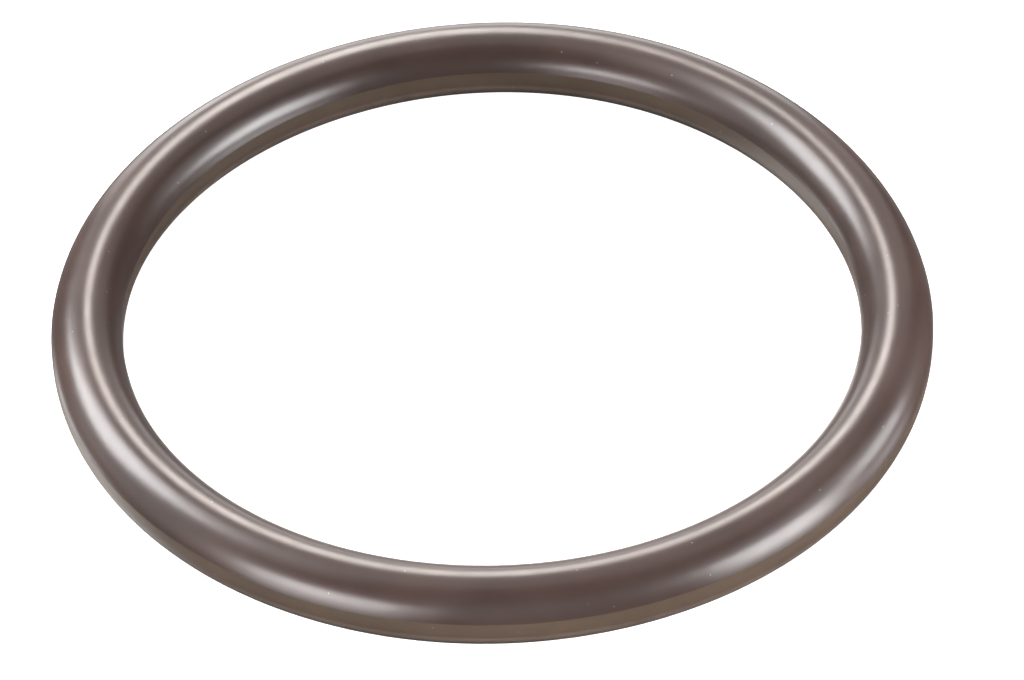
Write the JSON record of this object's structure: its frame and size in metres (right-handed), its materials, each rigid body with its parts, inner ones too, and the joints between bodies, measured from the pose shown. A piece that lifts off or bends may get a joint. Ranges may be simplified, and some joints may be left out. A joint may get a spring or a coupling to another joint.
{
  "type": "pressure cooker sealing ring",
  "caption": "Round silicone sealing ring for a stovetop pressure cooker, with a rounded crown, curved walls and lips beside an open steam chamber underneath.",
  "frame": {"origin": "centre of the ring in the plane of its feet", "axes": "+Z along the ring's axis, from the feet to the crown; the ring is round, so +X and +Y are any two directions across it"},
  "size_m": [0.2396, 0.2396, 0.018],
  "materials": {
    "silicone": "smooth moulded silicone, satin gloss, warm grey-brown"
  },
  "bodies": {
    "root": {"sealing_ring": "silicone"}
  },
  "joints": []
}
